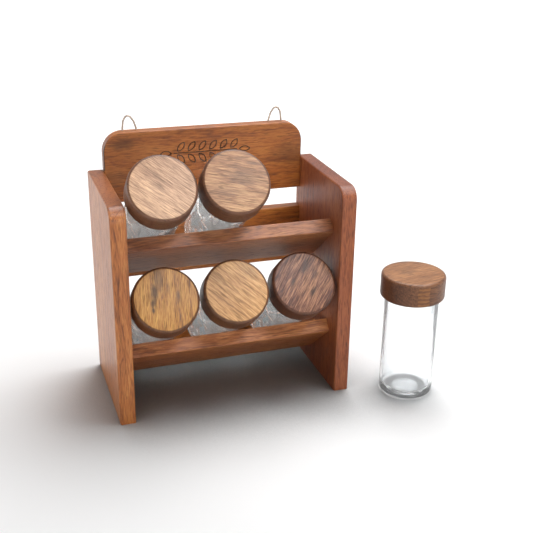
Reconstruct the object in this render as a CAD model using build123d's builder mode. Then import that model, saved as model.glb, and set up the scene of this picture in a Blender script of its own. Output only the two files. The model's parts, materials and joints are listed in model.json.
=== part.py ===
"""Six-jar spice rack: two side panels, three back boards, two tilted slats, six lidded jars.

Millimetres, +Z up. The front of the rack looks toward -Y and the whole object is wider along X.
The origin is on the floor under the middle of the whole object, standing jar included.
"""
from build123d import *
import math
import os

os.makedirs("parts", exist_ok=True)

# Rack
RACK_WIDTH = 210.0          # outside of one side panel to the outside of the other
RACK_DEPTH = 114.0
PANEL_THICK = 13.5
PANEL_HEIGHT = 194.0
PANEL_FRONT_RADIUS = 12.0   # rounded corner at the front of each panel's top
PANEL_BACK_RADIUS = 3.5
PANEL_EDGE_ROUND = 1.4
INNER_HALF = RACK_WIDTH / 2 - PANEL_THICK

# Back boards, all flush with the back of the panels
BOARD_THICK = 10.8
TOP_BOARD_BOTTOM = 164.6
TOP_BOARD_TOP = 227.8
TOP_BOARD_RADIUS = 18.0
MIDDLE_BOARD_BOTTOM = 92.0
MIDDLE_BOARD_TOP = 146.0
TIER_PITCH = 97.0           # height from one row of jars to the next
LOWER_BOARD_BOTTOM = 6.0
BOARD_EDGE_ROUND = 1.2

# Tilted slats the jars lie on
TILT = 39.0                 # jar axis above the horizontal, degrees
SLAT_THICK = 12.4
SLAT_WIDTH = 60.0
SLAT_FRONT_Y = -32.0        # top-front edge, measured from the middle of the rack's depth
SLAT_FRONT_Z = 160.0        # top-front edge of the upper slat
SLAT_EDGE_ROUND = 1.0

# Dowels
DOWEL_RADIUS = 3.0
DOWEL_IN_PANEL = 9.0
DOWEL_IN_BOARD = 12.0
TOP_PEG_INSET = 9.0         # from the board's edge, or the panel's top, to the middle of the dowel
MIDDLE_PEG_INSET = 14.0
LOWER_PEG_INSET = 11.0
SLAT_PEG_PLACES = (15.0, 45.0)   # along the slat's width, from its front edge

# Hanging loops
WIRE_RADIUS = 0.8
LOOP_X = 67.0               # middle of each loop, left and right of the rack's middle
LOOP_SPAN = 12.0
LOOP_LEAN = 1.3             # how far the peak leans away from the middle
LOOP_BEND = 3.0
LOOP_STRAIGHT = 2.0         # straight part of each leg above the board
LOOP_NEAR_SHOULDER = (4.0, 8.2)  # where each leg turns in, across from the loop's middle and up
LOOP_FAR_SHOULDER = (5.2, 8.7)
LOOP_CORNER = 15.4          # height of the sharp corner the peak is rounded from
LOOP_DEPTH = 12.0           # wire set into the board
LOOP_FROM_BACK = 4.4
LOOP_HOLE_EASE = 0.05       # each drilled hole is this much wider than the wire, on the radius

# Glass jar
GLASS_RADIUS = 24.2
GLASS_HEIGHT = 93.6
GLASS_WALL = 2.2
GLASS_FLOOR = 5.0
GLASS_FOOT_ROUND = 4.0
GLASS_INNER_ROUND = 6.0
GLASS_RIM_ROUND = 0.7
PUSH_UP_RADIUS = 11.0
PUSH_UP_SLOPE = 2.0         # width of the push-up's sloping side
PUSH_UP_DEPTH = 1.0
BORE_RADIUS = GLASS_RADIUS - GLASS_WALL

# Wooden lid
LID_RADIUS = 28.6
LID_HEIGHT = 21.8
LID_EDGE_ROUND = 2.6
LID_SOCKET_RADIUS = 19.0
LID_SOCKET_DEPTH = 6.0

# Plastic stopper and its seal
PLUG_RADIUS = BORE_RADIUS - 0.6
PLUG_DEPTH = 13.0
PLUG_WALL = 1.8
PLUG_STEP = 2.0             # how much narrower the hollow is inside the lid
SEAL_RADIUS = BORE_RADIUS - 0.3
SEAL_GROOVE_RADIUS = 20.4
SEAL_LOW = 6.5              # from the lid's underside down to the seal's lower face
SEAL_TALL = 2.0

# Jar places, measured from the middle of the rack
JAR_PITCH = 61.0
STANDING_X = 157.3
STANDING_Y = -69.6

# Engraved sprig on the top board
SPRIG_HALF = 42.0
SPRIG_Z = 206.0
SPRIG_LINE = 0.9
SPRIG_DEPTH = 0.9
LEAF_LENGTH = 11.0
LEAF_HALF_WIDTH = 2.7
LEAF_ANGLE = 52.0
LEAF_COUNT = 6
LEAF_GAP = 1.5              # bare wood between the stem and each leaf
LEAF_START = 0.25           # where the first pair sits in its share of the stem

TOUCH = 0.01                # two places closer than this are the same place
FLOOR_CLEAR = 1.0           # edges lower than this, or this near the back, stay sharp

# The rack's middle, seen from the origin
LEFT_END = -RACK_WIDTH / 2
RIGHT_END = STANDING_X + LID_RADIUS
FRONT_END = STANDING_Y - LID_RADIUS
BACK_END = RACK_DEPTH / 2
MID_X = -(LEFT_END + RIGHT_END) / 2
MID_Y = -(FRONT_END + BACK_END) / 2
BACK_Y = MID_Y + RACK_DEPTH / 2

TILT_RAD = math.radians(TILT)
ALONG_Y = -math.cos(TILT_RAD)    # jar axis, from base to lid
ALONG_Z = math.sin(TILT_RAD)
DOWN_Y = -math.sin(TILT_RAD)     # square to the slat's top face, downwards
DOWN_Z = -math.cos(TILT_RAD)


def save(item, name):
    """Label a finished piece and write its STEP file."""
    item.part.label = name
    export_step(item.part, "parts/" + name + ".step")


def side_plane(x):
    """Drawing plane facing +X: its x runs along Y and its y runs along Z."""
    return Plane(origin=(MID_X + x, MID_Y, 0), x_dir=(0, 1, 0), z_dir=(1, 0, 0))


def slat_plane(x, drop):
    """Plane square to X at a slat's top-front edge: its x runs down the slat, its y out of the top face."""
    origin = (MID_X + x, MID_Y + SLAT_FRONT_Y, SLAT_FRONT_Z - drop)
    return Plane(origin=origin, x_dir=(0, -ALONG_Y, -ALONG_Z), z_dir=(1, 0, 0))


def board_peg_points(bottom, top, inset):
    """Dowel centres on a back board's end, as (y, z) from the rack's middle depth."""
    y = RACK_DEPTH / 2 - BOARD_THICK / 2
    return [(y, bottom + inset), (y, top - inset)]


def slat_peg_points(drop):
    """Dowel centres on a slat's end, as (y, z) from the rack's middle depth."""
    points = []
    for along in SLAT_PEG_PLACES:
        y = SLAT_FRONT_Y - ALONG_Y * along + DOWN_Y * SLAT_THICK / 2
        z = SLAT_FRONT_Z - drop - ALONG_Z * along + DOWN_Z * SLAT_THICK / 2
        points.append((y, z))
    return points


LOWER_BOARD_TOP = MIDDLE_BOARD_TOP - TIER_PITCH
TOP_PEGS = board_peg_points(TOP_BOARD_BOTTOM, PANEL_HEIGHT, TOP_PEG_INSET)
MIDDLE_PEGS = board_peg_points(MIDDLE_BOARD_BOTTOM, MIDDLE_BOARD_TOP, MIDDLE_PEG_INSET)
LOWER_PEGS = board_peg_points(LOWER_BOARD_BOTTOM, LOWER_BOARD_TOP, LOWER_PEG_INSET)
UPPER_SLAT_PEGS = slat_peg_points(0.0)
LOWER_SLAT_PEGS = slat_peg_points(TIER_PITCH)
ALL_PEGS = TOP_PEGS + MIDDLE_PEGS + LOWER_PEGS + UPPER_SLAT_PEGS + LOWER_SLAT_PEGS


def panel(side):
    """One upright side panel; side is -1 for the left and 1 for the right."""
    inner_x = side * INNER_HALF
    with BuildPart() as body:
        with BuildSketch(side_plane(inner_x)):
            with Locations((0, PANEL_HEIGHT / 2)):
                outline = Rectangle(RACK_DEPTH, PANEL_HEIGHT)
            fillet(outline.vertices().group_by(Axis.Y)[-1].sort_by(Axis.X)[0], PANEL_FRONT_RADIUS)
            fillet(vertices().group_by(Axis.Y)[-1].sort_by(Axis.X)[-1], PANEL_BACK_RADIUS)
        extrude(amount=side * PANEL_THICK)
        rim = edges().filter_by(lambda e: abs(e.center().X - (MID_X + side * RACK_WIDTH / 2)) < TOUCH)
        inner = edges().filter_by(lambda e: abs(e.center().X - (MID_X + inner_x)) < TOUCH)
        fillet(rim, PANEL_EDGE_ROUND)
        upper = inner.filter_by(lambda e: e.center().Z > FLOOR_CLEAR)
        fillet(upper.filter_by(lambda e: e.center().Y < BACK_Y - FLOOR_CLEAR), PANEL_EDGE_ROUND)
        with BuildSketch(side_plane(inner_x)):
            with Locations(*ALL_PEGS):
                Circle(DOWEL_RADIUS)
        extrude(amount=side * DOWEL_IN_PANEL, mode=Mode.SUBTRACT)
    return body


def cut_board_sockets(points):
    """Blind dowel holes in both ends of a cross board."""
    for side in (-1, 1):
        with BuildSketch(side_plane(side * INNER_HALF)) as holes:
            with Locations(*points):
                Circle(DOWEL_RADIUS)
        extrude(holes.sketch, amount=-side * DOWEL_IN_BOARD, mode=Mode.SUBTRACT)


def long_edges():
    """The edges that run from panel to panel."""
    return edges().filter_by(Axis.X).filter_by(lambda e: e.length > INNER_HALF)


def back_board(bottom, top, points):
    """A plain rail between the panels, flush with their backs."""
    with BuildPart() as body:
        with BuildSketch(side_plane(-INNER_HALF)):
            with Locations((RACK_DEPTH / 2 - BOARD_THICK / 2, (bottom + top) / 2)):
                Rectangle(BOARD_THICK, top - bottom)
        extrude(amount=2 * INNER_HALF)
        fillet(long_edges(), BOARD_EDGE_ROUND)
        cut_board_sockets(points)
    return body


def slat(drop, points):
    """A tilted board that carries one row of jars."""
    with BuildPart() as body:
        with BuildSketch(slat_plane(-INNER_HALF, drop)):
            with Locations((SLAT_WIDTH / 2, -SLAT_THICK / 2)):
                Rectangle(SLAT_WIDTH, SLAT_THICK)
        extrude(amount=2 * INNER_HALF)
        fillet(long_edges(), SLAT_EDGE_ROUND)
        cut_board_sockets(points)
    return body


def pegs(points):
    """The dowels of one board, both ends."""
    with BuildPart() as body:
        for side in (-1, 1):
            with BuildSketch(side_plane(side * (INNER_HALF - DOWEL_IN_BOARD))):
                with Locations(*points):
                    Circle(DOWEL_RADIUS)
            extrude(amount=side * (DOWEL_IN_BOARD + DOWEL_IN_PANEL))
    return body


def leaf_outline(half_length, half_width):
    """A pointed leaf from two arcs, lying along its own x."""
    with BuildSketch() as sketch:
        with BuildLine():
            ThreePointArc((-half_length, 0), (0, half_width), (half_length, 0))
            ThreePointArc((half_length, 0), (0, -half_width), (-half_length, 0))
        make_face()
    return sketch.sketch


def leaf_ring():
    """The engraved line around one leaf."""
    trim = SPRIG_LINE * LEAF_LENGTH / (4 * LEAF_HALF_WIDTH) + SPRIG_LINE / 2
    with BuildSketch() as sketch:
        add(leaf_outline(LEAF_LENGTH / 2, LEAF_HALF_WIDTH))
        add(leaf_outline(LEAF_LENGTH / 2 - trim, LEAF_HALF_WIDTH - SPRIG_LINE), mode=Mode.SUBTRACT)
    return sketch.sketch


def sprig():
    """A stem with leaves on both sides, engraved into the top board's front face."""
    front = Plane(origin=(MID_X, BACK_Y - BOARD_THICK, SPRIG_Z), x_dir=(1, 0, 0), z_dir=(0, -1, 0))
    ring = leaf_ring()
    reach = LEAF_LENGTH / 2 + LEAF_GAP
    stem_half = SPRIG_HALF - LEAF_LENGTH - LEAF_GAP
    step = 2 * stem_half / LEAF_COUNT
    with BuildSketch(front) as lines:
        Rectangle(2 * stem_half, SPRIG_LINE)
        for index in range(LEAF_COUNT):
            foot = -stem_half + step * (index + LEAF_START)
            for turn in (LEAF_ANGLE, -LEAF_ANGLE):
                x = foot + reach * math.cos(math.radians(turn))
                y = reach * math.sin(math.radians(turn))
                with Locations(Location((x, y, 0), turn)):
                    add(ring)
        with Locations((SPRIG_HALF - LEAF_LENGTH / 2, 0), (LEAF_LENGTH / 2 - SPRIG_HALF, 0)):
            add(ring)
    extrude(lines.sketch, amount=-SPRIG_DEPTH, mode=Mode.SUBTRACT)


left_side_panel_shape = panel(-1).part
with BuildPart() as left_side_panel:
    add(left_side_panel_shape)
save(left_side_panel, "left_side_panel")

right_side_panel_shape = panel(1).part
with BuildPart() as right_side_panel:
    add(right_side_panel_shape)
save(right_side_panel, "right_side_panel")

with BuildPart() as top_back_board:
    with BuildSketch(Plane(origin=(MID_X, BACK_Y, 0), x_dir=(1, 0, 0), z_dir=(0, -1, 0))):
        with Locations((0, (TOP_BOARD_BOTTOM + TOP_BOARD_TOP) / 2)):
            face_shape = Rectangle(2 * INNER_HALF, TOP_BOARD_TOP - TOP_BOARD_BOTTOM)
        fillet(face_shape.vertices().group_by(Axis.Y)[-1], TOP_BOARD_RADIUS)
    extrude(amount=BOARD_THICK)
    fillet(edges().filter_by(Axis.Y, reverse=True), BOARD_EDGE_ROUND)
    sprig()
    cut_board_sockets(TOP_PEGS)
    for loop_x in (-LOOP_X, LOOP_X):
        for foot_x in (-LOOP_SPAN / 2, LOOP_SPAN / 2):
            hole = Plane(origin=(MID_X + loop_x + foot_x, BACK_Y - LOOP_FROM_BACK, TOP_BOARD_TOP))
            with BuildSketch(hole):
                Circle(WIRE_RADIUS + LOOP_HOLE_EASE)
            extrude(amount=-LOOP_DEPTH, mode=Mode.SUBTRACT)
save(top_back_board, "top_back_board")

middle_back_board_shape = back_board(MIDDLE_BOARD_BOTTOM, MIDDLE_BOARD_TOP, MIDDLE_PEGS).part
with BuildPart() as middle_back_board:
    add(middle_back_board_shape)
save(middle_back_board, "middle_back_board")

lower_back_board_shape = back_board(LOWER_BOARD_BOTTOM, LOWER_BOARD_TOP, LOWER_PEGS).part
with BuildPart() as lower_back_board:
    add(lower_back_board_shape)
save(lower_back_board, "lower_back_board")

upper_slat_shape = slat(0.0, UPPER_SLAT_PEGS).part
with BuildPart() as upper_slat:
    add(upper_slat_shape)
save(upper_slat, "upper_slat")

lower_slat_shape = slat(TIER_PITCH, LOWER_SLAT_PEGS).part
with BuildPart() as lower_slat:
    add(lower_slat_shape)
save(lower_slat, "lower_slat")

top_board_dowels_shape = pegs(TOP_PEGS).part
with BuildPart() as top_board_dowels:
    add(top_board_dowels_shape)
save(top_board_dowels, "top_board_dowels")

middle_board_dowels_shape = pegs(MIDDLE_PEGS).part
with BuildPart() as middle_board_dowels:
    add(middle_board_dowels_shape)
save(middle_board_dowels, "middle_board_dowels")

lower_board_dowels_shape = pegs(LOWER_PEGS).part
with BuildPart() as lower_board_dowels:
    add(lower_board_dowels_shape)
save(lower_board_dowels, "lower_board_dowels")

upper_slat_dowels_shape = pegs(UPPER_SLAT_PEGS).part
with BuildPart() as upper_slat_dowels:
    add(upper_slat_dowels_shape)
save(upper_slat_dowels, "upper_slat_dowels")

lower_slat_dowels_shape = pegs(LOWER_SLAT_PEGS).part
with BuildPart() as lower_slat_dowels:
    add(lower_slat_dowels_shape)
save(lower_slat_dowels, "lower_slat_dowels")


def hanging_loop(side):
    """A bent wire whose two legs go down into the top board."""
    plane = Plane(origin=(MID_X + side * LOOP_X, BACK_Y - LOOP_FROM_BACK, TOP_BOARD_TOP),
                  x_dir=(side, 0, 0), z_dir=(0, -side, 0))
    half = LOOP_SPAN / 2
    near_x, near_y = LOOP_NEAR_SHOULDER
    with BuildPart() as body:
        with BuildLine(plane) as path:
            FilletPolyline((-half, -LOOP_DEPTH), (-half, LOOP_STRAIGHT), (-near_x, near_y),
                           (LOOP_LEAN, LOOP_CORNER), LOOP_FAR_SHOULDER, (half, LOOP_STRAIGHT),
                           (half, -LOOP_DEPTH), radius=LOOP_BEND)
        with BuildSketch(Plane(origin=path.line @ 0, z_dir=path.line % 0)):
            Circle(WIRE_RADIUS)
        sweep(path=path.line)
    return body


hanging_loop_left_shape = hanging_loop(-1).part
with BuildPart() as hanging_loop_left:
    add(hanging_loop_left_shape)
save(hanging_loop_left, "hanging_loop_left")

hanging_loop_right_shape = hanging_loop(1).part
with BuildPart() as hanging_loop_right:
    add(hanging_loop_right_shape)
save(hanging_loop_right, "hanging_loop_right")


def glass(plane):
    """Straight round jar with a thick rounded base; plane is at the base with its y along the axis."""
    with BuildPart() as body:
        with BuildSketch(plane):
            with BuildLine():
                Polyline((0, PUSH_UP_DEPTH), (PUSH_UP_RADIUS - PUSH_UP_SLOPE, PUSH_UP_DEPTH),
                         (PUSH_UP_RADIUS, 0), (GLASS_RADIUS, 0), (GLASS_RADIUS, GLASS_HEIGHT),
                         (BORE_RADIUS, GLASS_HEIGHT), (BORE_RADIUS, GLASS_FLOOR), (0, GLASS_FLOOR),
                         (0, PUSH_UP_DEPTH))
            make_face()
        revolve(axis=Axis(plane.origin, plane.y_dir))
        rings = edges().filter_by(GeomType.CIRCLE)
        foot = rings.filter_by(lambda e: abs(e.radius - GLASS_RADIUS) < TOUCH)
        bore = rings.filter_by(lambda e: abs(e.radius - BORE_RADIUS) < TOUCH)
        base = foot.sort_by(lambda e: (e.arc_center - plane.origin).dot(plane.y_dir))
        floor = bore.sort_by(lambda e: (e.arc_center - plane.origin).dot(plane.y_dir))
        fillet(base[0], GLASS_FOOT_ROUND)
        fillet(floor[0], GLASS_INNER_ROUND)
        rim = edges().filter_by(GeomType.CIRCLE)
        rim = rim.filter_by(lambda e: (e.arc_center - plane.origin).dot(plane.y_dir) > GLASS_HEIGHT - TOUCH)
        fillet(rim, GLASS_RIM_ROUND)
    return body


def lid(plane):
    """Turned wooden lid with a socket underneath for the stopper."""
    low = GLASS_HEIGHT
    with BuildPart() as body:
        with BuildSketch(plane):
            with BuildLine():
                Polyline((0, low + LID_SOCKET_DEPTH), (LID_SOCKET_RADIUS, low + LID_SOCKET_DEPTH),
                         (LID_SOCKET_RADIUS, low), (LID_RADIUS, low), (LID_RADIUS, low + LID_HEIGHT),
                         (0, low + LID_HEIGHT), (0, low + LID_SOCKET_DEPTH))
            make_face()
        revolve(axis=Axis(plane.origin, plane.y_dir))
        rings = edges().filter_by(GeomType.CIRCLE)
        fillet(rings.filter_by(lambda e: abs(e.radius - LID_RADIUS) < TOUCH), LID_EDGE_ROUND)
    return body


def stopper(plane):
    """Plastic plug: pressed up into the lid and hanging down inside the glass."""
    low = GLASS_HEIGHT
    floor = low - PLUG_DEPTH
    inner = PLUG_RADIUS - PLUG_WALL
    top = low + LID_SOCKET_DEPTH
    groove_low = low - SEAL_LOW
    groove_high = groove_low + SEAL_TALL
    with BuildPart() as body:
        with BuildSketch(plane):
            with BuildLine():
                Polyline((0, top - PLUG_WALL), (0, top), (LID_SOCKET_RADIUS, top), (LID_SOCKET_RADIUS, low),
                         (PLUG_RADIUS, low), (PLUG_RADIUS, groove_high), (SEAL_GROOVE_RADIUS, groove_high),
                         (SEAL_GROOVE_RADIUS, groove_low), (PLUG_RADIUS, groove_low), (PLUG_RADIUS, floor),
                         (inner, floor), (inner - PLUG_STEP, low), (inner - PLUG_STEP, top - PLUG_WALL),
                         (0, top - PLUG_WALL))
            make_face()
        revolve(axis=Axis(plane.origin, plane.y_dir))
    return body


def seal(plane):
    """Soft ring in the stopper's groove."""
    low = GLASS_HEIGHT - SEAL_LOW
    with BuildPart() as body:
        with BuildSketch(plane):
            with BuildLine():
                Polyline((SEAL_GROOVE_RADIUS, low), (SEAL_RADIUS, low), (SEAL_RADIUS, low + SEAL_TALL),
                         (SEAL_GROOVE_RADIUS, low + SEAL_TALL), (SEAL_GROOVE_RADIUS, low))
            make_face()
        revolve(axis=Axis(plane.origin, plane.y_dir))
    return body


def lying_plane(x, drop):
    """Base of a jar lying on a slat with its foot against the back board's upper front edge."""
    rest_y = SLAT_FRONT_Y - DOWN_Y * GLASS_RADIUS
    rest_z = SLAT_FRONT_Z - drop - DOWN_Z * GLASS_RADIUS
    stop_y = RACK_DEPTH / 2 - BOARD_THICK
    stop_z = MIDDLE_BOARD_TOP - drop
    back = (stop_y - rest_y) * ALONG_Y + (stop_z - rest_z) * ALONG_Z
    origin = (MID_X + x, MID_Y + rest_y + back * ALONG_Y, rest_z + back * ALONG_Z)
    return Plane(origin=origin, x_dir=(1, 0, 0), z_dir=(0, -ALONG_Z, ALONG_Y))


JAR_PLANES = [
    lying_plane(-JAR_PITCH, 0.0),
    lying_plane(0.0, 0.0),
    lying_plane(-JAR_PITCH, TIER_PITCH),
    lying_plane(0.0, TIER_PITCH),
    lying_plane(JAR_PITCH, TIER_PITCH),
    Plane(origin=(MID_X + STANDING_X, MID_Y + STANDING_Y, 0), x_dir=(1, 0, 0), z_dir=(0, -1, 0)),
]

for number, place in enumerate(JAR_PLANES, start=1):
    glass_shape = glass(place).part
    with BuildPart() as glass_jar:
        add(glass_shape)
    save(glass_jar, "glass_jar_" + str(number))
    lid_shape = lid(place).part
    with BuildPart() as jar_lid:
        add(lid_shape)
    save(jar_lid, "wooden_lid_" + str(number))
    stopper_shape = stopper(place).part
    with BuildPart() as jar_stopper:
        add(stopper_shape)
    save(jar_stopper, "stopper_" + str(number))
    seal_shape = seal(place).part
    with BuildPart() as seal_ring:
        add(seal_shape)
    save(seal_ring, "seal_ring_" + str(number))
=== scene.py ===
import json
import math

import bpy
from mathutils import Euler, Matrix, Vector


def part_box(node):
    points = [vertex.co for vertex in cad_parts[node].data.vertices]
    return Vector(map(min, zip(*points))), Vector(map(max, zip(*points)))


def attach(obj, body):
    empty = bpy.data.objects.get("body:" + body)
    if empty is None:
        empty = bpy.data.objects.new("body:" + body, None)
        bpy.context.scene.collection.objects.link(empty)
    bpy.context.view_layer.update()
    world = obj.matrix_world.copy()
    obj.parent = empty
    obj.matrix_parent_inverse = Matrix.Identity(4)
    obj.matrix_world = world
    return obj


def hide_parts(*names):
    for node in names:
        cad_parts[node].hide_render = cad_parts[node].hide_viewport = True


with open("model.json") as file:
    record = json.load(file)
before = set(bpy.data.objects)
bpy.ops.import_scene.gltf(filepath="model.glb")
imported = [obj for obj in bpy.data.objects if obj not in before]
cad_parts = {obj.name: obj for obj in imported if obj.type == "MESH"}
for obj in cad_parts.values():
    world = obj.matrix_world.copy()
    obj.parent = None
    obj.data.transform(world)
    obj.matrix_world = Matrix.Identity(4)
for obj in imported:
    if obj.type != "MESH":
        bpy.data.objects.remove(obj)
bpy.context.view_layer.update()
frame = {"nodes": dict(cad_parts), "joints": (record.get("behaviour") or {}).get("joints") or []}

MM = 0.001

# Sizes of the turned pieces, in millimetres along and around each jar's own axis
GLASS_RADIUS = 24.2
GLASS_HEIGHT = 93.6
BORE_RADIUS = 22.0
GLASS_FLOOR = 5.0
FOOT_ROUND = 4.0
FLOOR_ROUND = 6.0
RIM_ROUND = 0.7
RIM_CLEAR = 0.02             # the glass rim stays just below the lid
LID_RADIUS = 28.6
LID_HEIGHT = 21.8
LID_ROUND = 2.6
SOCKET_RADIUS = 19.0
SOCKET_DEPTH = 6.0
PLUG_RADIUS = 21.4
PLUG_DEPTH = 13.0
PLUG_WALL = 1.8
SEAL_RADIUS = 21.7
GROOVE_RADIUS = 20.4
SEAL_LOW = 6.5
SEAL_TALL = 2.0
LIP_ROUND = 0.5
LIP_DEPTH = 0.9
PLUG_STEP = 2.0
TIP_CHAMFER = 0.5
TIP_RISE = 0.6
TOP_FLARE = 0.5
RIB_HEIGHT = 0.6
RIB_HALF = 0.9
RIB_PLACES = (-11.0, -8.6, -2.6)
TURNS = 144                  # segments around each turned piece

JARS = range(1, 7)
STANDING_JAR = 6
DOWELS = ("top_board_dowels", "middle_board_dowels", "lower_board_dowels",
          "upper_slat_dowels", "lower_slat_dowels")
LOOPS = ("hanging_loop_left", "hanging_loop_right")


# ---------------------------------------------------------------- node helpers

def srgb(red, green, blue):
    """A linear colour from 0-255 screen values."""
    def linear(value):
        value /= 255
        return value / 12.92 if value <= 0.04045 else ((value + 0.055) / 1.055) ** 2.4
    return (linear(red), linear(green), linear(blue), 1.0)


class Shader:
    """Short calls for building one material's nodes."""

    def __init__(self, name):
        self.material = bpy.data.materials.new(name)
        self.material.use_nodes = True
        self.tree = self.material.node_tree
        self.bsdf = self.tree.nodes["Principled BSDF"]

    def add(self, kind, **settings):
        node = self.tree.nodes.new(kind)
        for key, value in settings.items():
            setattr(node, key, value)
        return node

    def put(self, socket, value):
        """Links a socket, or sets a constant."""
        if isinstance(value, bpy.types.NodeSocket):
            self.tree.links.new(value, socket)
        else:
            socket.default_value = value

    def math(self, operation, first, second=0.0, clamp=False):
        node = self.add("ShaderNodeMath", operation=operation, use_clamp=clamp)
        self.put(node.inputs[0], first)
        self.put(node.inputs[1], second)
        return node.outputs[0]

    def vector(self, operation, first, second=(0.0, 0.0, 0.0)):
        node = self.add("ShaderNodeVectorMath", operation=operation)
        self.put(node.inputs[0], first)
        self.put(node.inputs[1], second)
        return node.outputs["Value"] if operation in ("LENGTH", "DISTANCE") else node.outputs[0]

    def separate(self, vector):
        node = self.add("ShaderNodeSeparateXYZ")
        self.put(node.inputs[0], vector)
        return node.outputs

    def combine(self, x, y, z):
        node = self.add("ShaderNodeCombineXYZ")
        for socket, value in zip(node.inputs, (x, y, z)):
            self.put(socket, value)
        return node.outputs[0]

    def mapping(self, vector, location=(0, 0, 0), rotation=(0, 0, 0), scale=(1, 1, 1)):
        node = self.add("ShaderNodeMapping")
        self.put(node.inputs["Vector"], vector)
        node.inputs["Location"].default_value = location
        node.inputs["Rotation"].default_value = rotation
        node.inputs["Scale"].default_value = scale
        return node.outputs[0]

    def noise(self, vector, scale=1.0, detail=2.0, roughness=0.5, distortion=0.0):
        node = self.add("ShaderNodeTexNoise")
        self.put(node.inputs["Vector"], vector)
        node.inputs["Scale"].default_value = scale
        node.inputs["Detail"].default_value = detail
        node.inputs["Roughness"].default_value = roughness
        node.inputs["Distortion"].default_value = distortion
        return node.outputs["Fac"]

    def ramp(self, factor, stops, smooth=False):
        """A grey or colour ramp; stops are (position, value or colour)."""
        node = self.add("ShaderNodeValToRGB")
        node.color_ramp.interpolation = "EASE" if smooth else "LINEAR"
        elements = node.color_ramp.elements
        while len(elements) < len(stops):
            elements.new(0.5)
        for element, (position, value) in zip(elements, stops):
            element.position = position
            element.color = value if isinstance(value, tuple) else (value, value, value, 1.0)
        self.put(node.inputs[0], factor)
        return node.outputs[0]

    def mix(self, factor, first, second, blend="MIX"):
        node = self.add("ShaderNodeMix", data_type="RGBA", blend_type=blend)
        self.put(node.inputs[0], factor)
        self.put(node.inputs[6], first)
        self.put(node.inputs[7], second)
        return node.outputs[2]

    def bump(self, height, strength, distance):
        node = self.add("ShaderNodeBump")
        node.inputs["Strength"].default_value = strength
        node.inputs["Distance"].default_value = distance
        self.put(node.inputs["Height"], height)
        return node.outputs[0]

    def set(self, **values):
        """Sets or links the principled shader's own sockets."""
        for name, value in values.items():
            self.put(self.bsdf.inputs[name.replace("_", " ")], value)


# ---------------------------------------------------------------- materials

# Noise scales in repeats per metre: along the grain, then across it both ways
WANDER_SCALE = (9, 42, 42)
SWAY_SCALE = (14, 22, 22)
FADE_SCALE = (7, 30, 30)
FLOW_SCALE = (5, 26, 26)
STREAK_SCALE = (24, 260, 260)
FIBRE_SCALE = (95, 1300, 1300)
HAIR_SCALE = (150, 2300, 2300)
PORE_SCALE = (95, 900, 900)
MARK_EDGE_SCALE = (160, 420, 420)
UPRIGHT_SCALE = (620, 620, 30)      # here across, across, then up the lid's side
WANDER_REACH = 0.012                # how far the growth rings stray, in metres
SWAY_REACH = 0.010
SIDE_SHADE_BLEND = 0.6                    # mm over which the painted shade on a lid's side comes in
BURN_DEPTH = (0.12, 1.2)            # mm behind the board's face
RUNG_PITCH = 3.6                    # mm
BURNT_TONE = srgb(38, 22, 14)
END_TINT = srgb(150, 112, 92)
# Painted shade on the sides of the lids, which face down and away from the light
SIDE_SHADE_TONES = (srgb(34, 16, 9), srgb(104, 60, 36))
FLAME_TONES = (srgb(158, 102, 50), srgb(88, 52, 26))


def shade(colour, factor):
    """The same colour, darker."""
    return tuple(factor * channel for channel in colour[:3]) + (1.0,)


def sum_around_half(s, tone, noise, weight):
    """Adds a noise, centred on zero, to a tone."""
    return s.math("ADD", tone, s.math("MULTIPLY", s.math("SUBTRACT", noise, 0.5), weight))


def between(s, value, low, high):
    """1 where low < value < high, else 0."""
    return s.math("MULTIPLY", s.math("GREATER_THAN", value, low), s.math("LESS_THAN", value, high))


def growth_rings(s, log, pitch, contrast):
    """Light and dark rings around the log's heart, wandering a little along it."""
    wander = s.noise(s.mapping(log, scale=WANDER_SCALE), 1.0, 3.0, 0.55)
    sway = s.noise(s.mapping(log, location=(3.1, 1.7, 0.4), scale=SWAY_SCALE), 1.0, 2.0, 0.5)
    across = s.separate(log)
    reach = s.vector("LENGTH", s.combine(0.0, across[1], across[2]))
    reach = sum_around_half(s, reach, wander, WANDER_REACH)
    reach = sum_around_half(s, reach, sway, SWAY_REACH)
    rings = s.math("FRACT", s.math("DIVIDE", reach, pitch * MM))
    stops = [(0.0, 0.62), (0.45, 0.80), (0.78, 0.42), (0.90, 0.10), (1.0, 0.62)]
    fade = s.ramp(s.noise(s.mapping(log, scale=FADE_SCALE), 1.0, 2.0), [(0.32, 0.25), (0.68, 1.0)])
    return s.math("MULTIPLY", s.math("SUBTRACT", s.ramp(rings, stops, smooth=True), 0.5),
                  s.math("MULTIPLY", fade, contrast))


def grain_tone(s, log, fibre, pitch, contrast, streaks):
    """Rings, streaks and slow changes together, from 0 for dark to 1 for light."""
    streak = s.noise(s.mapping(log, scale=STREAK_SCALE), 1.0, 4.0, 0.6, 0.15)
    flow = s.noise(s.mapping(log, location=(0.7, 0.2, 0.9), scale=FLOW_SCALE), 1.0, 3.0, 0.6)
    tone = growth_rings(s, log, pitch, contrast)
    tone = sum_around_half(s, tone, streak, 0.7 * streaks)
    tone = sum_around_half(s, tone, fibre, 2.9 * streaks)
    tone = sum_around_half(s, tone, flow, 0.8)
    return s.math("ADD", tone, 0.5, clamp=True)


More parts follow.
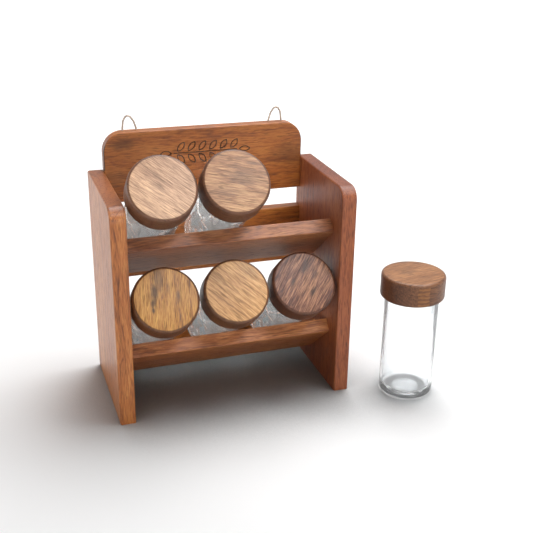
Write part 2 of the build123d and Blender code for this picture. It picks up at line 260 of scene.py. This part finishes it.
def marked(s, colour, place, turn, spots, flat, dark):
    """Knots and stains: uneven dark marks, longer along the grain, as deep as the wood."""
    grained = s.mapping(place, rotation=turn)
    edge = s.noise(s.mapping(grained, location=(5.3, 2.1, 8.8), scale=MARK_EDGE_SCALE), 1.0, 3.0, 0.6)
    for across, up, size, strength in spots:
        centre = turn.to_matrix() @ Vector((across, 0, up) if flat else (across, up, 0)) * MM
        offset = s.separate(s.vector("SUBTRACT", grained, tuple(centre)))
        along = s.math("MULTIPLY", offset[0], 0.45)
        away = s.combine(along, 0.0, offset[2]) if flat else s.combine(along, offset[1], 0.0)
        away = s.math("DIVIDE", s.vector("LENGTH", away), size * MM)
        mark = s.ramp(sum_around_half(s, away, edge, 1.0), [(0.25, 1.0), (1.0, 0.0)], smooth=True)
        colour = s.mix(s.math("MULTIPLY", mark, strength), colour, shade(dark, 0.45))
    return colour


def painted_side_shade(s, colour, place, tone, radius, strength):
    """Painted shade: the side of a turned lid outside radius, darkened by strength, with upright tool marks.
    """
    around = s.separate(place)
    out = s.vector("LENGTH", s.combine(around[0], around[1], 0.0))
    edge = s.math("MULTIPLY", s.math("SUBTRACT", out, radius * MM), 1 / (SIDE_SHADE_BLEND * MM), clamp=True)
    upright = s.noise(s.mapping(place, scale=UPRIGHT_SCALE), 1.0, 3.0, 0.6)
    worked = s.math("ADD", s.math("MULTIPLY", tone, 0.55), s.math("MULTIPLY", upright, 0.45))
    side = s.ramp(worked, [(0.25, SIDE_SHADE_TONES[0]), (0.75, SIDE_SHADE_TONES[1])])
    return s.mix(s.math("MULTIPLY", edge, strength), colour, side)


def flame_patch(s, colour, place, tone, middle, half, low, high):
    """A soft banded patch of grain on the front of a lid's side."""
    spot = s.separate(place)
    waver = s.math("MULTIPLY", s.math("SUBTRACT", s.noise(place, 260.0, 3.0), 0.5), 4.0 * MM)
    aside = s.math("ABSOLUTE", s.math("SUBTRACT", s.math("ADD", spot[0], waver), middle * MM))
    inside = s.math("MULTIPLY", s.math("LESS_THAN", aside, half * MM), s.math("LESS_THAN", spot[1], -20 * MM))
    inside = s.math("MULTIPLY", inside, between(s, spot[2], low * MM, high * MM))
    rungs = s.math("SINE", s.math("MULTIPLY", s.math("ADD", spot[2], waver), 2 * math.pi / (RUNG_PITCH * MM)))
    bands = s.math("ADD", s.math("MULTIPLY", rungs, 0.5), s.math("MULTIPLY", tone, 0.6))
    return s.mix(s.math("MULTIPLY", inside, 0.50), colour,
                 s.ramp(bands, [(0.05, FLAME_TONES[0]), (0.85, FLAME_TONES[1])]))


def engraved(s, colour, place, front, low, high):
    """Burnt brown in the engraved lines between two heights."""
    spot = s.separate(place)
    mask = between(s, spot[1], front + BURN_DEPTH[0] * MM, front + BURN_DEPTH[1] * MM)
    mask = s.math("MULTIPLY", mask, between(s, spot[2], low, high))
    return s.mix(s.math("MULTIPLY", mask, 0.9), colour, BURNT_TONE)


def wood(name, turn, heart, tones, pitch=5.0, contrast=0.55, streaks=0.5,
         burnt=None, gloss=0.46, side=None, spots=(), flat=False, flame=None, coat=0.15):
    """Oiled hardwood cut from a log whose axis runs along local x after turn, with its heart at heart (mm).

    tones are the dark, middle and light colours; pitch is the growth ring spacing in mm.
    side = (radius in mm, strength) paints shade on what is outside it; burnt = (front y, low, high) in metres
    darkens engraved lines in that box; spots are dark marks on a lid, or on a board's face if flat;
    flame = (x, half width, low, high) in mm is a banded patch on the front of a lid's side.
    """
    s = Shader(name)
    dark, middle, light = tones
    place = s.add("ShaderNodeTexCoord").outputs["Object"]
    log = s.mapping(s.mapping(place, rotation=turn), location=[-h * MM for h in heart])
    fibre = s.noise(s.mapping(log, scale=FIBRE_SCALE), 1.0, 4.0, 0.62, 0.1)
    hair = s.noise(s.mapping(log, scale=HAIR_SCALE), 1.0, 2.0, 0.7)
    tone = grain_tone(s, log, fibre, pitch, contrast, streaks)
    colour = s.ramp(tone, [(0.08, dark), (0.48, middle), (0.92, light)])

    # Pores: short dark dashes
    pores = s.ramp(s.noise(s.mapping(log, scale=PORE_SCALE), 1.0, 1.0, 0.5), [(0.56, 0.0), (0.66, 1.0)])
    colour = s.mix(s.math("MULTIPLY", pores, 0.42), colour, shade(dark, 0.35))
    colour = s.mix(s.math("MULTIPLY", s.math("SUBTRACT", 1.0, hair), 0.22), colour, dark)

    # End grain drinks more oil
    facing = s.mapping(s.add("ShaderNodeTexCoord").outputs["Normal"], rotation=turn)
    along = s.math("ABSOLUTE", s.separate(facing)[0])
    end = s.ramp(along, [(0.45, 0.0), (0.95, 1.0)], smooth=True)
    colour = s.mix(s.math("MULTIPLY", end, 0.55), colour, s.mix(1.0, colour, END_TINT, "MULTIPLY"))

    if spots:
        colour = marked(s, colour, place, turn, spots, flat, dark)
    # Painted shade on a lid's side
    if side:
        colour = painted_side_shade(s, colour, place, tone, *side)
    if flame:
        colour = flame_patch(s, colour, place, tone, *flame)
    if burnt:
        colour = engraved(s, colour, place, *burnt)

    rough = sum_around_half(s, gloss, fibre, 0.25)
    rough = s.math("ADD", rough, s.math("MULTIPLY", pores, 0.15), clamp=True)
    height = s.math("SUBTRACT", s.math("MULTIPLY", fibre, 0.5), s.math("MULTIPLY", pores, 0.9))
    s.set(Base_Color=colour, Roughness=rough, Normal=s.bump(height, 0.35, 0.0003))
    s.bsdf.inputs["Specular IOR Level"].default_value = 0.40
    s.bsdf.inputs["Coat Weight"].default_value = coat
    s.bsdf.inputs["Coat Roughness"].default_value = 0.28
    return s.material


RIPPLE_SCALE = (58, 58, 28)         # repeats per metre around, around and along the jar


def clear_glass(name, ripples, tint, index, passes):
    """Clear glass with moulding ripples this many mm deep.

    index is how much it bends light, and passes how much gets through.
    """
    s = Shader(name)
    place = s.add("ShaderNodeTexCoord").outputs["Object"]
    ripple = s.noise(s.mapping(place, scale=RIPPLE_SCALE), 1.0, 1.3, 0.45, 0.8)
    s.set(Normal=s.bump(ripple, 1.0, ripples * MM))
    s.bsdf.inputs["Base Color"].default_value = tint
    s.bsdf.inputs["Roughness"].default_value = 0.015
    s.bsdf.inputs["IOR"].default_value = index
    s.bsdf.inputs["Transmission Weight"].default_value = passes
    return s.material


def soft_plastic(name, colour, roughness, passes):
    """Milky plastic with a faint moulded texture."""
    s = Shader(name)
    place = s.add("ShaderNodeTexCoord").outputs["Object"]
    cloud = s.noise(s.mapping(place, scale=(60, 60, 60)), 1.0, 3.0)
    tint = s.mix(s.math("MULTIPLY", cloud, 0.25), colour, shade(colour, 0.8))
    grain = s.noise(place, 2600.0, 2.0)
    s.set(Base_Color=tint, Normal=s.bump(grain, 0.10, 0.0001))
    s.bsdf.inputs["Roughness"].default_value = roughness
    s.bsdf.inputs["Transmission Weight"].default_value = passes
    s.bsdf.inputs["IOR"].default_value = 1.45
    return s.material


def dull_wire():
    """Aged brown-grey wire with slight tarnish."""
    s = Shader("dull_wire")
    place = s.add("ShaderNodeTexCoord").outputs["Object"]
    tarnish = s.noise(place, 420.0, 4.0, 0.6)
    colour = s.mix(tarnish, srgb(132, 112, 98), srgb(200, 184, 170))
    s.set(Base_Color=colour, Normal=s.bump(s.noise(place, 1500.0, 2.0), 0.15, 0.0001))
    s.bsdf.inputs["Metallic"].default_value = 0.35
    s.bsdf.inputs["Roughness"].default_value = 0.42
    return s.material


def box_middle(name):
    """The middle of a CAD node's box, in metres."""
    low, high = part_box(name)
    return (low + high) / 2


def paint(piece, material):
    """Gives a piece one material."""
    piece.data.materials.clear()
    piece.data.materials.append(material)


# ---------------------------------------------------------------- turned pieces

def arc(centre_r, centre_z, radius, start, end, steps=8):
    """Points of a round in the profile plane, angles in degrees."""
    points = []
    for index in range(steps + 1):
        angle = math.radians(start + (end - start) * index / steps)
        points.append((centre_r + radius * math.cos(angle), centre_z + radius * math.sin(angle)))
    return points


def lathe(name, profile, place, closed=False, turns=TURNS):
    """Turns a profile of (radius, height) points in mm around the axis; place is its frame at rest.

    The profile runs with the solid on its left. A point at radius 0 becomes a single pole.
    """
    vertices, rows, faces = [], [], []
    for radius, height in profile:
        if radius == 0:
            rows.append([len(vertices)] * turns)
            vertices.append((0.0, 0.0, height * MM))
            continue
        row = []
        for step in range(turns):
            angle = 2 * math.pi * step / turns
            row.append(len(vertices))
            vertices.append((radius * MM * math.cos(angle), radius * MM * math.sin(angle), height * MM))
        rows.append(row)
    pairs = list(zip(rows, rows[1:]))
    if closed:
        pairs.append((rows[-1], rows[0]))
    for low, high in pairs:
        for step in range(turns):
            after = (step + 1) % turns
            ring = [low[step], low[after], high[after], high[step]]
            face = [v for i, v in enumerate(ring) if v not in ring[:i]]
            if len(face) > 2:
                faces.append(face)
    mesh = bpy.data.meshes.new(name)
    mesh.from_pydata(vertices, [], faces)
    mesh.polygons.foreach_set("use_smooth", [True] * len(mesh.polygons))
    mesh.set_sharp_from_angle(angle=math.radians(38))
    mesh.update()
    piece = bpy.data.objects.new(name, mesh)
    piece.matrix_world = place
    bpy.context.scene.collection.objects.link(piece)
    return piece


def glass_profile():
    """Outside from the middle of the base up to the rim, then down the inside."""
    push_up = [(0, 1.0), (4, 0.95), (8, 0.65), (10.5, 0.2), (12, 0.0)]      # the hollow under the base
    foot = arc(GLASS_RADIUS - FOOT_ROUND, FOOT_ROUND, FOOT_ROUND, -90, 0, 10)
    top = GLASS_HEIGHT - RIM_ROUND - RIM_CLEAR
    rim = arc(GLASS_RADIUS - RIM_ROUND, top, RIM_ROUND, 0, 90, 5)
    rim += arc(BORE_RADIUS + RIM_ROUND, top, RIM_ROUND, 90, 180, 5)
    hollow = arc(BORE_RADIUS - FLOOR_ROUND, GLASS_FLOOR + FLOOR_ROUND, FLOOR_ROUND, 0, -90, 10)
    middle = [(8, GLASS_FLOOR + 0.1), (0, GLASS_FLOOR + 0.25)]
    return push_up + foot + rim + hollow + middle


def lid_profile():
    """Socket from its middle outwards, then up the side and in over the face.

    Heights are from the rim of the glass.
    """
    low = arc(LID_RADIUS - LID_ROUND, LID_ROUND, LID_ROUND, -90, 0, 8)
    high = arc(LID_RADIUS - LID_ROUND, LID_HEIGHT - LID_ROUND, LID_ROUND, 0, 90, 8)
    socket = [(0, SOCKET_DEPTH), (SOCKET_RADIUS, SOCKET_DEPTH), (SOCKET_RADIUS, 0)]
    return socket + low + high + [(0, LID_HEIGHT)]


def stopper_profile():
    """Cup-shaped plug with moulded ribs and a groove for its seal."""
    inner = PLUG_RADIUS - PLUG_WALL
    body = PLUG_RADIUS - RIB_HEIGHT
    outside = [(inner, -PLUG_DEPTH), (body - TIP_CHAMFER, -PLUG_DEPTH), (body, TIP_RISE - PLUG_DEPTH)]
    for middle in RIB_PLACES:
        if middle == RIB_PLACES[-1]:
            outside += [(body, -SEAL_LOW), (GROOVE_RADIUS, -SEAL_LOW),
                        (GROOVE_RADIUS, SEAL_TALL - SEAL_LOW), (body, SEAL_TALL - SEAL_LOW)]
        outside += [(body, middle - RIB_HALF), (PLUG_RADIUS, middle), (body, middle + RIB_HALF)]
    roof = SOCKET_DEPTH - PLUG_WALL
    inside = [(0, roof), (inner - PLUG_STEP, roof), (inner - PLUG_STEP, 0)]
    head = [(body, -TOP_FLARE), (PLUG_RADIUS, 0), (SOCKET_RADIUS, 0), (SOCKET_RADIUS, SOCKET_DEPTH),
            (0, SOCKET_DEPTH)]
    return inside + outside + head


def seal_profile():
    """Soft ring with a rounded lip."""
    low = -SEAL_LOW
    high = low + SEAL_TALL
    shoulder = SEAL_RADIUS - LIP_DEPTH
    lip = arc(SEAL_RADIUS - LIP_ROUND, low + SEAL_TALL / 2, LIP_ROUND, -90, 90, 6)
    return [(GROOVE_RADIUS, low), (shoulder, low)] + lip + [(shoulder, high), (GROOVE_RADIUS, high)]


def axis_frame(number):
    """The jar's frame at its rim: z along its axis, x across the rack."""
    joint = next(j for j in frame["joints"] if j["name"] == f"lid_{number}_pull")
    z = Vector(joint["axis"]).normalized()
    x = Vector((1, 0, 0))
    y = z.cross(x)
    place = Matrix((x, y, z)).transposed().to_4x4()
    place.translation = box_middle(f"wooden_lid_{number}") - z * (LID_HEIGHT / 2) * MM
    return place


# Where the painted shade on a lid's side starts, just past the flat face
SIDE_SHADE_START = LID_RADIUS - LID_ROUND + 0.2
FLAME_PATCH = (-3.4, 5.2, 1.5, 19.0)      # middle, half width, low and high, in mm

# Tones of each lid: dark, middle, light; then grain angle, heart, ring pitch, contrast, streaks,
# and its marks as (x, y, size in mm, strength)
LIDS = {
    1: ((srgb(99, 68, 47), srgb(159, 122, 94), srgb(221, 180, 141)), -42, (0, 30, -70), 4.2, 0.35, 0.46,
        ((-4, 1, 4, 0.25),)),
    2: ((srgb(77, 48, 30), srgb(140, 95, 59), srgb(201, 157, 110)), -14, (10, -46, -60), 5.2, 0.45, 0.42,
        ((6, 3, 9, 0.35), (-10, -8, 7, 0.2))),
    3: ((srgb(77, 41, 11), srgb(168, 110, 39), srgb(211, 159, 79)), 82, (0, 25, -52), 4.6, 0.55, 0.62,
        ((-9, 7, 4.5, 0.75), (-11, -2, 3, 0.8), (-12, -8, 1.8, 0.9), (-4, 19, 8, 0.55), (10, 0, 4, 0.35),
         (3, 9, 3, 0.3))),
    4: ((srgb(104, 65, 28), srgb(178, 128, 75), srgb(219, 174, 116)), -48, (0, 60, -40), 3.8, 0.45, 0.55,
        ((14, 16, 7, 0.3), (-16, 14, 6, 0.25))),
    5: ((srgb(39, 17, 11), srgb(96, 50, 30), srgb(178, 127, 91)), 52, (0, -30, -60), 4.4, 0.40, 0.55,
        ((4, 15, 5, 0.6), (-10, 2, 2.6, 0.75), (6, -9, 3, 0.6), (10, 6, 3, 0.35))),
    6: ((srgb(73, 42, 21), srgb(125, 80, 45), srgb(178, 127, 82)), 8, (0, 8, -26), 3.4, 0.55, 0.50,
        ((-4, 3, 6, 0.3),)),
}


def build_jar(number, glass, plastic, rubber):
    """Glass, wooden lid, stopper and seal of one jar, each on its body; returns the see-through ones."""
    place = axis_frame(number)
    base = place @ Matrix.Translation((0, 0, -GLASS_HEIGHT * MM))
    tones, grain, heart, pitch, contrast, streaks, spots = LIDS[number]
    turn = Euler((0, 0, math.radians(-grain)))
    # The lying lids get deeper painted shade on their sides than the standing one
    lid_wood = wood(f"lid_wood_{number}", turn, heart, tones, pitch, contrast, streaks,
                    side=(SIDE_SHADE_START, 0.60 if number == STANDING_JAR else 0.90), spots=spots,
                    flame=FLAME_PATCH if number == STANDING_JAR else None)
    pieces = (
        (lathe(f"jar_glass_{number}", glass_profile(), base), glass,
         f"jar_{number}", f"glass_jar_{number}", "jar_glass"),
        (lathe(f"turned_lid_{number}", lid_profile(), place), lid_wood,
         f"lid_{number}", f"wooden_lid_{number}", "lid_wood"),
        (lathe(f"plug_{number}", stopper_profile(), place), plastic,
         f"lid_{number}", f"stopper_{number}", "stopper_plastic"),
        (lathe(f"seal_{number}", seal_profile(), place, closed=True), rubber,
         f"lid_{number}", f"seal_ring_{number}", "seal_rubber"),
    )
    for piece, material, body, node, slot in pieces:
        paint(piece, material)
        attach(piece, body)
        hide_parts(node)
    return [piece for piece, material, *_ in pieces if material != lid_wood]


# ---------------------------------------------------------------- boards

RACK_TONES = (srgb(70, 31, 11), srgb(139, 75, 24), srgb(175, 109, 46))
PANEL_TONES = (srgb(96, 48, 20), srgb(168, 98, 44), srgb(204, 140, 75))
# A darker, redder copy of the panel tones: painted shade for the right panel, whose inner face stands in
# shadow
SHADED_PANEL_TONES = (srgb(74, 32, 18), srgb(136, 70, 37), srgb(165, 96, 53))
SLAT_TONES = (srgb(69, 33, 17), srgb(130, 74, 40), srgb(169, 112, 65))
# A lighter copy of the slat tones: painted light for the lower slat, whose faces catch more light than the
# upper slat's
LIT_SLAT_TONES = (srgb(82, 40, 20), srgb(154, 88, 47), srgb(200, 132, 77))
PEG_TONES = (srgb(150, 112, 72), srgb(196, 158, 112), srgb(220, 188, 146))
ENGRAVED_LOW = 33            # mm below the board's top
ENGRAVED_HIGH = 11


def board_wood(name, upright, tones, offset, pitch, contrast, streaks, burnt=None, spots=(), coat=0.15):
    """Board material whose log axis is vertical for a panel and along X for a rail."""
    centre = box_middle(name) / MM
    if upright:
        turn = Euler((0, math.radians(90), 0))
        heart = (centre.z, centre.y + offset[0], -centre.x + offset[1])
    else:
        turn = Euler((0, 0, 0))
        heart = (centre.x, centre.y + offset[0], centre.z + offset[1])
    return wood(name + "_wood", turn, heart, tones, pitch, contrast, streaks, burnt=burnt, spots=spots,
                flat=True, coat=coat)


def dress_boards():
    """Gives each CAD board its own cut of wood, and smooth rounds."""
    low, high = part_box("top_back_board")
    burnt = (low.y, high.z - ENGRAVED_LOW * MM, high.z - ENGRAVED_HIGH * MM)
    left, top = low.x / MM, high.z / MM
    stains = ((left + 17, top - 10, 8, 0.55), (left + 12, top - 40, 9, 0.3),
              (left + 176, top - 30, 17, 0.45))
    # Upright or not, tones, the heart's offset in mm, ring pitch, contrast, streaks, engraved box
    woods = {
        "left_side_panel": (True, PANEL_TONES, (22, 66), 6.0, 0.45, 0.45, None),
        "right_side_panel": (True, SHADED_PANEL_TONES, (-30, -60), 5.2, 0.45, 0.50, None),
        "top_back_board": (False, RACK_TONES, (58, 16), 5.5, 0.55, 0.45, burnt),
        "middle_back_board": (False, RACK_TONES, (48, -20), 5.0, 0.45, 0.45, None),
        "lower_back_board": (False, RACK_TONES, (52, 12), 5.0, 0.45, 0.45, None),
        "upper_slat": (False, SLAT_TONES, (30, -44), 4.4, 0.45, 0.55, None),
        "lower_slat": (False, LIT_SLAT_TONES, (-28, -50), 4.6, 0.45, 0.50, None),
    }
    for name, (upright, tones, offset, pitch, contrast, streaks, mark) in woods.items():
        node = frame["nodes"][name]
        spots = stains if mark else ()
        coat = 0.35 if name == "left_side_panel" else 0.15       # the photo's left panel shines more
        paint(node, board_wood(name, upright, tones, offset, pitch, contrast, streaks, mark, spots, coat))
        smooth(node)


def smooth(node, angle=32):
    """Smooth shading with crisp edges kept."""
    node.data.polygons.foreach_set("use_smooth", [True] * len(node.data.polygons))
    node.data.set_sharp_from_angle(angle=math.radians(angle))
    node.data.update()


def dress_small_parts():
    """Pale pegs and dull wire loops."""
    peg = wood("peg_wood", Euler((0, 0, 0)), (0, 0, 0), PEG_TONES, 2.0, 0.3, 0.3, gloss=0.6)
    wire = dull_wire()
    for name in DOWELS:
        paint(frame["nodes"][name], peg)
        smooth(frame["nodes"][name])
    for name in LOOPS:
        paint(frame["nodes"][name], wire)
        smooth(frame["nodes"][name], 60)


# ---------------------------------------------------------------- stage

FLOOR_REACH = 4500.0         # mm
FLOOR_BEND = 900.0           # mm
GLOW_START = 0.45            # metres from the middle
GLOW_SPAN = 1.2
SHADOW_SPAN = 0.14          # painted contact shadow darkens the floor where things are nearer than this, in metres


def ground():
    """A pale round floor that curves up into a low wall far away, with painted contact shadow near things and
    a lighter painted disc under the standing jar.
    """
    profile = [(0, 0), (FLOOR_REACH, 0)] + arc(FLOOR_REACH, FLOOR_BEND, FLOOR_BEND, -90, 0, 12)
    floor = lathe("floor", profile, Matrix.Identity(4), turns=96)
    s = Shader("pale_floor")
    place = s.add("ShaderNodeTexCoord").outputs["Object"]
    faint = s.noise(place, 3.0, 2.0)
    pale = s.mix(faint, (0.90, 0.90, 0.90, 1), (0.93, 0.93, 0.93, 1))
    # Painted shadow: the floor's colour darkens to a cool grey where things stand near it
    near = s.add("ShaderNodeAmbientOcclusion", samples=8)
    near.inputs["Distance"].default_value = SHADOW_SPAN
    deep = s.ramp(near.outputs["AO"], [(0.15, (0.23, 0.26, 0.27, 1.0)), (0.80, 1.0)])
    # Painted light: under the standing jar's glass the floor keeps a lighter colour
    foot = box_middle(f"glass_jar_{STANDING_JAR}")
    foot.z = 0.0
    lit_disc_under_jar = s.math("LESS_THAN", s.vector("DISTANCE", place, tuple(foot)), GLASS_RADIUS * MM)
    deep = s.mix(lit_disc_under_jar, deep, (0.85, 0.85, 0.85, 1.0))
    s.set(Base_Color=s.mix(1.0, pale, deep, "MULTIPLY"))
    far = s.math("SUBTRACT", s.vector("LENGTH", place), GLOW_START)
    s.set(Emission_Strength=s.math("DIVIDE", far, GLOW_SPAN, clamp=True))
    s.bsdf.inputs["Emission Color"].default_value = (1.0, 1.0, 1.0, 1.0)
    s.bsdf.inputs["Roughness"].default_value = 0.9
    s.bsdf.inputs["Specular IOR Level"].default_value = 0.1
    floor.data.materials.append(s.material)
    return floor


def area_light(name, place, target, size, power, skip=(), only=(), past=()):
    """A soft rectangular light.

    It doesn't reach the pieces in skip, or reaches none but those in only. Where past is given, nothing else
    blocks it.
    """
    data = bpy.data.lights.new(name, "AREA")
    data.shape = "RECTANGLE"
    data.size, data.size_y = size
    data.energy = power
    lamp = bpy.data.objects.new(name, data)
    lamp.location = place
    lamp.rotation_euler = (Vector(target) - Vector(place)).to_track_quat("-Z", "Y").to_euler()
    bpy.context.scene.collection.objects.link(lamp)
    if skip or only:
        lamp.light_linking.receiver_collection = group_of(name + "_receivers", skip or only)
        for member in lamp.light_linking.receiver_collection.collection_objects:
            member.light_linking.link_state = "EXCLUDE" if skip else "INCLUDE"
    if past:
        lamp.light_linking.blocker_collection = group_of(name + "_blockers", past)


def group_of(name, members):
    """A collection for light linking only."""
    group = bpy.data.collections.new(name)
    for member in members:
        group.objects.link(member)
    return group


def lighting(floor, clear_pieces):
    """A room bright at eye level, soft lights above, in front and left, and one for the glass alone."""
    world = bpy.data.worlds.new("soft_room")
    bpy.context.scene.world = world
    world.use_nodes = True
    nodes, links = world.node_tree.nodes, world.node_tree.links
    aim = nodes.new("ShaderNodeTexCoord")
    parts = nodes.new("ShaderNodeSeparateXYZ")
    ramp = nodes.new("ShaderNodeValToRGB")
    links.new(aim.outputs["Generated"], parts.inputs[0])
    links.new(parts.outputs["Z"], ramp.inputs[0])
    ramp.color_ramp.elements[0].position = 0.30
    ramp.color_ramp.elements[0].color = (1.0, 1.0, 1.0, 1.0)
    ramp.color_ramp.elements[1].position = 0.60
    ramp.color_ramp.elements[1].color = (0.10, 0.10, 0.10, 1.0)
    links.new(ramp.outputs[0], nodes["Background"].inputs["Color"])
    nodes["Background"].inputs["Strength"].default_value = 0.55
    middle = (0, 0, 0.12)
    area_light("overhead", (0.32, 0.26, 1.20), (0, 0, 0.1), (1.1, 0.9), 22.0)
    area_light("high_front", (0.36, -0.72, 1.28), middle, (0.8, 0.5), 11.5, skip=[floor])
    area_light("low_front", (0.10, -1.50, 0.45), middle, (1.2, 0.5), 3.5, skip=[floor])
    area_light("left_side", (-1.20, 0.30, 0.45), middle, (0.6, 0.5), 5.4, skip=[floor])
    area_light("glass_glow", (-0.90, -1.00, 0.10), middle, (0.7, 0.5), 34.0,
               only=clear_pieces, past=[floor])
    bpy.context.scene.view_settings.view_transform = "Standard"


def camera():
    """Looks down 23 degrees onto the front, from the left of the middle."""
    data = bpy.data.cameras.new("camera")
    data.sensor_width = 36.0
    data.lens = 62.53
    data.shift_x = -0.0263
    data.shift_y = 0.0151
    data.clip_start = 0.01
    eye = bpy.data.objects.new("camera", data)
    eye.location = (-0.2452, -0.7184, 0.4323)
    eye.rotation_euler = Euler([math.radians(a) for a in (66.857, -1.085, -19.061)])
    bpy.context.scene.collection.objects.link(eye)
    bpy.context.scene.camera = eye


dress_boards()
dress_small_parts()
still_glass = clear_glass("clear_glass", 0.1, (0.940, 0.956, 0.966, 1.0), 1.27, 0.92)
rippled_glass = clear_glass("rippled_glass", 4.6, (0.975, 0.992, 0.990, 1.0), 1.38, 0.94)
shared_plastic = soft_plastic("milky_plastic", srgb(250, 252, 252), 0.5, 0.6)
shared_rubber = soft_plastic("soft_seal", srgb(248, 250, 250), 0.5, 0.5)
see_through = []
for jar in JARS:
    see_through += build_jar(jar, still_glass if jar == STANDING_JAR else rippled_glass,
                             shared_plastic, shared_rubber)
lighting(ground(), see_through)
camera()
